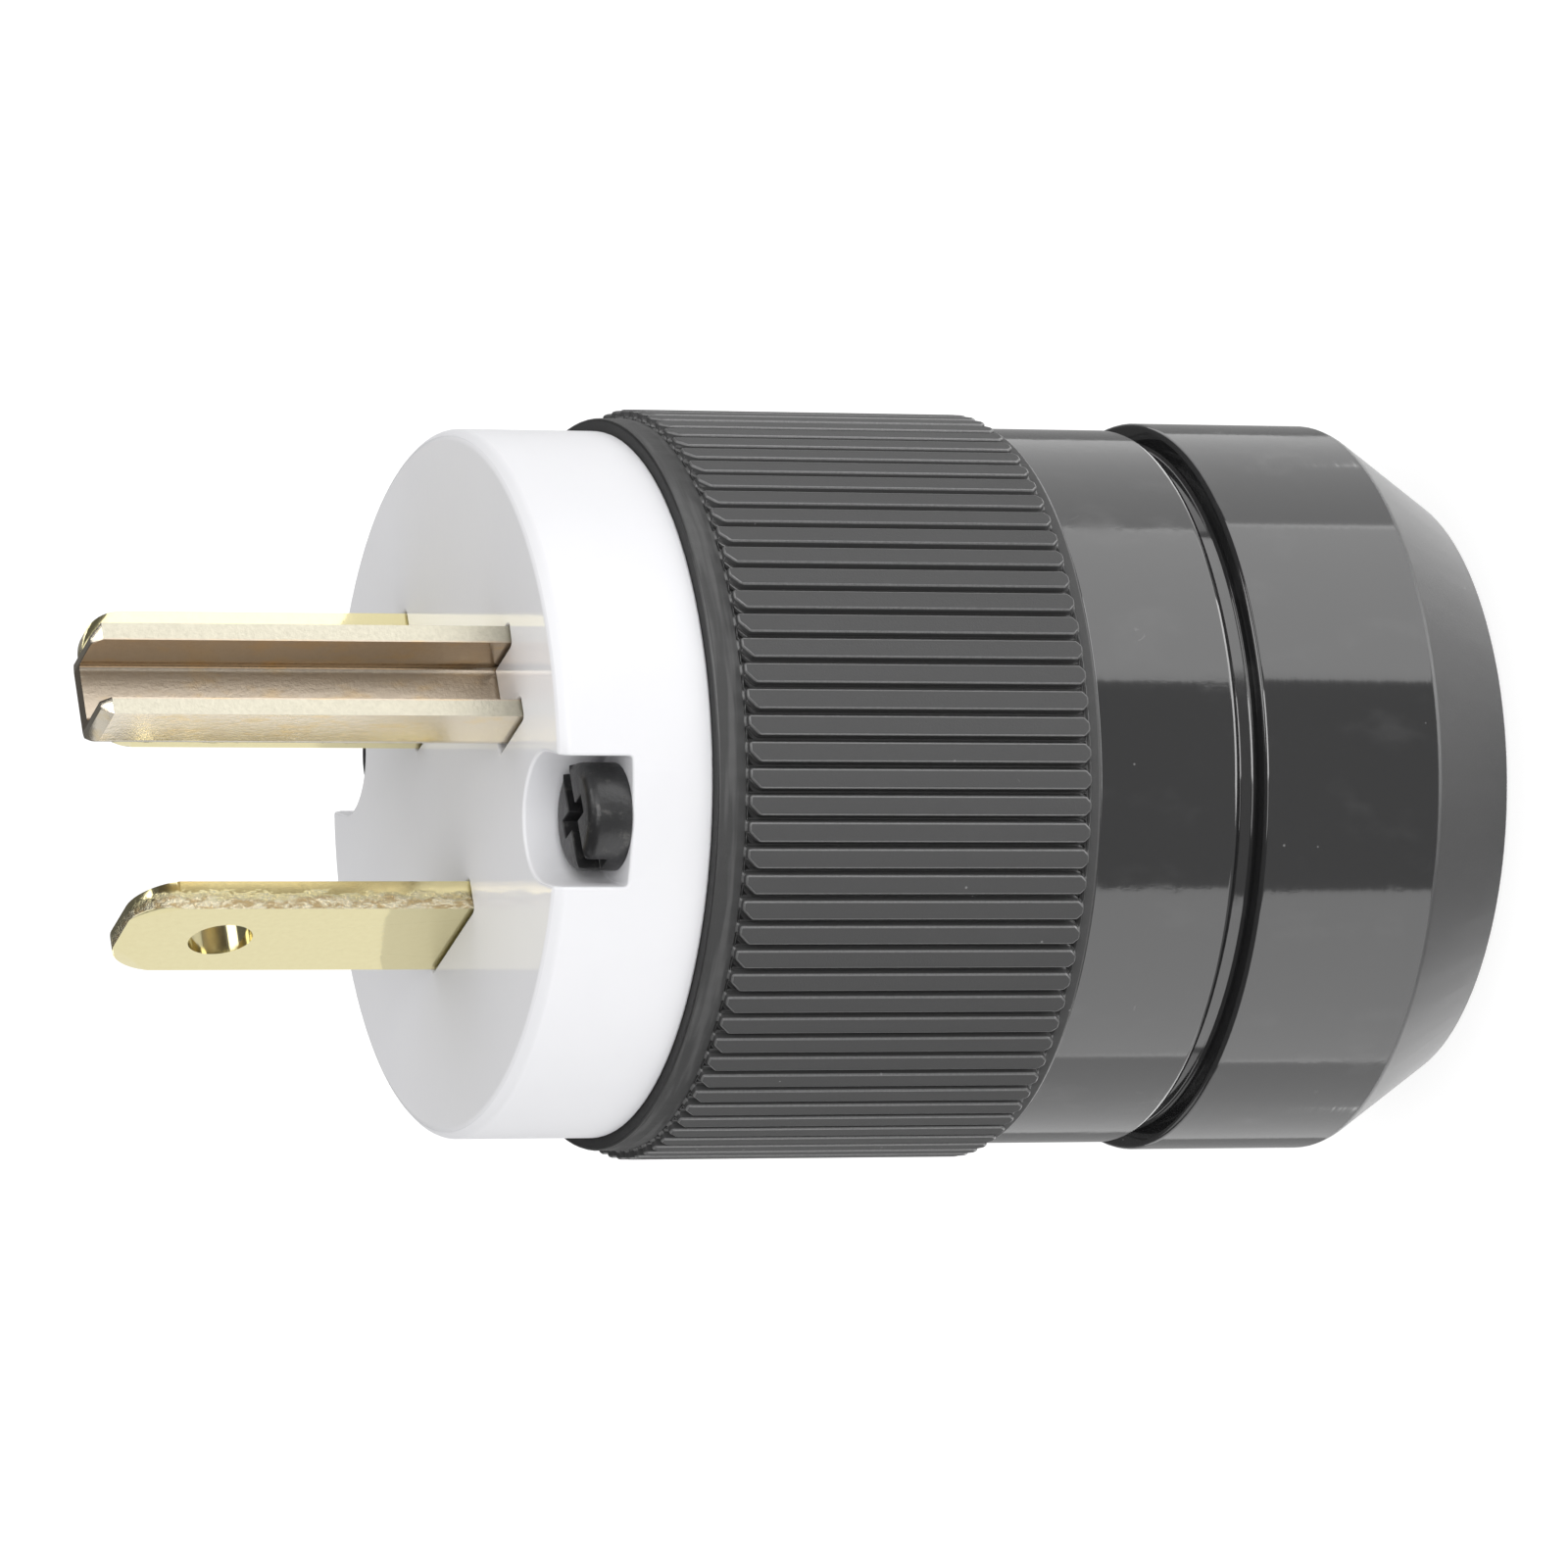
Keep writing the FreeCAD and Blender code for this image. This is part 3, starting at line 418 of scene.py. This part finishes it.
# Long screws: blackened steel, with a flat round head and a combined slot and cross. They draw the front,
# the shell and the rear housing together.
SCREW_CIRCLE = 14.0
SCREW_TURN = math.radians(57.1)
HEAD_RADIUS = 2.45
HEAD_TOP = 46.35
STEEL_BLACK = (0.018, 0.018, 0.019, 1)
WORN_STEEL = (0.09, 0.088, 0.085, 1)

black_steel = Finish("black_steel", IOR=1.6)
wear = black_steel.noise(1.6, detail=5.0, roughness=0.65)
bared = wear.step(0.52, 0.7)
black_steel.feed(Base_Color=black_steel.mix(bared, STEEL_BLACK, WORN_STEEL))
black_steel.feed(Roughness=0.22 + wear * 0.25, Metallic=0.2 + bared * 0.5)
black_steel.bump(wear, 0.04)
for letter, side in (("a", 1), ("b", -1)):
    centre = Vector((math.cos(SCREW_TURN), math.sin(SCREW_TURN))) * SCREW_CIRCLE * side

    def head_edge(place):
        """The head's outer edge is rounded over, and its slot and cross stay crisp."""
        at_rim = (place.xy - centre).length > HEAD_RADIUS - EDGE
        return 0.5 if at_rim and place.z > HEAD_TOP - EDGE else 0.06

    screw = eased("assembly_screw_" + letter, black_steel.material, head_edge, segments=4)

# Floor and room: a white paper sweep in an evenly lit white room. In gloss the room is darker, so that the
# pale cards stand out in the black nylon, as they do in a studio.
FLOOR_HALF = 1.2
FLOOR_LEVEL = -0.02
PAPER_GLOW = 1.35
GLOW_SHARE = 0.62
ROOM_LEVEL = 0.88
CEILING_LEVEL = 0.12
GROUND_LEVEL = 0.37

scene = bpy.context.scene
scene.view_settings.view_transform = "Standard"

corners = [(-1, -1), (1, -1), (1, 1), (-1, 1)]
floor_mesh = bpy.data.meshes.new("floor")
floor_mesh.from_pydata([(x * FLOOR_HALF, y * FLOOR_HALF, 0) for x, y in corners], [], [(0, 1, 2, 3)])
floor = bpy.data.objects.new("floor", floor_mesh)
scene.collection.objects.link(floor)
floor.location.z = FLOOR_LEVEL * MM
floor.visible_glossy = False
floor.visible_shadow = False

paper = Finish("floor_paper", Base_Color=(0.9, 0.9, 0.9, 1), Roughness=0.9)
glow = paper.node("Emission", inputs={"Strength": PAPER_GLOW})
seen = paper.node("LightPath", output="Is Camera Ray")
lit = Field(paper, paper.shader.outputs[0])
shown = paper.node("MixShader", inputs={0: seen * GLOW_SHARE, 1: lit, 2: glow})
paper.tree.links.new(shown.socket, paper.tree.nodes["Material Output"].inputs["Surface"])
floor_mesh.materials.append(paper.material)

world = bpy.data.worlds.new("studio")
scene.world = world
world.use_nodes = True
studio = Nodes(world.node_tree)
to_camera = studio.node("LightPath", output="Is Camera Ray")
in_gloss = studio.node("LightPath", output="Is Glossy Ray")
direction = studio.node("TexCoord", output="Generated")
height = studio.node("SeparateXYZ", inputs={0: direction}, output="Z")
gloss_level = GROUND_LEVEL - height.step(-0.1, 0.1) * (GROUND_LEVEL - CEILING_LEVEL)
room_level = (1 - to_camera - in_gloss) * ROOM_LEVEL + to_camera + in_gloss * gloss_level
background = world.node_tree.nodes["Background"]
background.inputs["Color"].default_value = (1, 1, 1, 1)
world.node_tree.links.new(room_level.socket, background.inputs["Strength"])

# Camera: it looks at the plug's side from a little in front of the face, and it is rolled so that the plug
# lies on its side in the picture. Its lens gives the scale at the face.
CAMERA_AZIMUTH = -117.0
CAMERA_RISE = 20.7
CAMERA_ROLL = -89.8
CAMERA_DISTANCE = 500.0
SHIFT_ALONG = -15.78
PIXELS_PER_MM = 22.1
FRAME_PIXELS = 1600
SENSOR = 36.0

azimuth, rise, roll = (math.radians(angle) for angle in (CAMERA_AZIMUTH, CAMERA_RISE, CAMERA_ROLL))
flat = math.cos(rise)
towards = Vector((flat * math.cos(azimuth), flat * math.sin(azimuth), math.sin(rise)))
sideways = (-towards).cross(Vector((0, 0, 1))).normalized()
upwards = sideways.cross(-towards)
right = math.cos(roll) * sideways + math.sin(roll) * upwards
up = math.cos(roll) * upwards - math.sin(roll) * sideways
eye = Vector((0, 0, BODY_TOP)) - SHIFT_ALONG * right + CAMERA_DISTANCE * towards

camera_data = bpy.data.cameras.new("camera")
camera_data.sensor_width = SENSOR
camera_data.lens = PIXELS_PER_MM * CAMERA_DISTANCE * SENSOR / FRAME_PIXELS
camera_data.clip_start = 10 * MM
camera = bpy.data.objects.new("camera", camera_data)
scene.collection.objects.link(camera)
camera.matrix_world = Matrix.Translation(eye * MM) @ Matrix((right, up, towards)).transposed().to_4x4()
scene.camera = camera

# Lamps: one soft box lights the plug, and the others are pale cards that show only in its gloss. Each is
# given by its angle round from the camera, its lift, its distance and size in metres, and its strength.
LAMP_TARGET = Vector((0, 0, 0.03))


def softbox(name, around, lift, distance, size, strength, lights=False):
    """An area lamp aimed at the plug. Only one that lights it reaches matt surfaces."""
    turn = azimuth + math.radians(around)
    tilt = math.radians(lift)
    direction = Vector((math.cos(tilt) * math.cos(turn), math.cos(tilt) * math.sin(turn), math.sin(tilt)))
    data = bpy.data.lights.new(name, "AREA")
    data.shape = "RECTANGLE"
    data.size, data.size_y = size
    data.energy = strength * size[0] * size[1] * math.pi
    lamp = bpy.data.objects.new(name, data)
    scene.collection.objects.link(lamp)
    lamp.visible_diffuse = lights
    aim = direction.to_track_quat("Z", "Y").to_matrix().to_4x4()
    lamp.matrix_world = Matrix.Translation(LAMP_TARGET + direction * distance) @ aim


softbox("front_box", 16, 14, 1.3, (0.6, 0.6), 3.5, lights=True)
softbox("top_box", 60, 58, 1.2, (0.8, 0.6), 2.5)
softbox("front_card", 25, 24, 1.3, (2.0, 0.5), 1.7)
softbox("corner_card", -130, 25, 1.3, (0.6, 0.4), 0.55)
softbox("upper_card", 62.5, -22, 1.5, (1.48, 1.3), 1.63)
softbox("lower_card", -65, -22, 1.5, (1.69, 1.3), 1.25)
softbox("upper_side", 120.5, -22, 1.5, (1.57, 1.3), 0.72)
softbox("lower_side", -123.5, -22, 1.5, (1.39, 1.3), 0.58)
softbox("under_card", 35, -56, 1.2, (1.2, 0.5), 4.0)
softbox("upper_tail_card", 150, -44, 1.3, (1.2, 0.8), 1.6)
softbox("lower_tail_card", -150, -44, 1.3, (1.2, 0.8), 1.6)
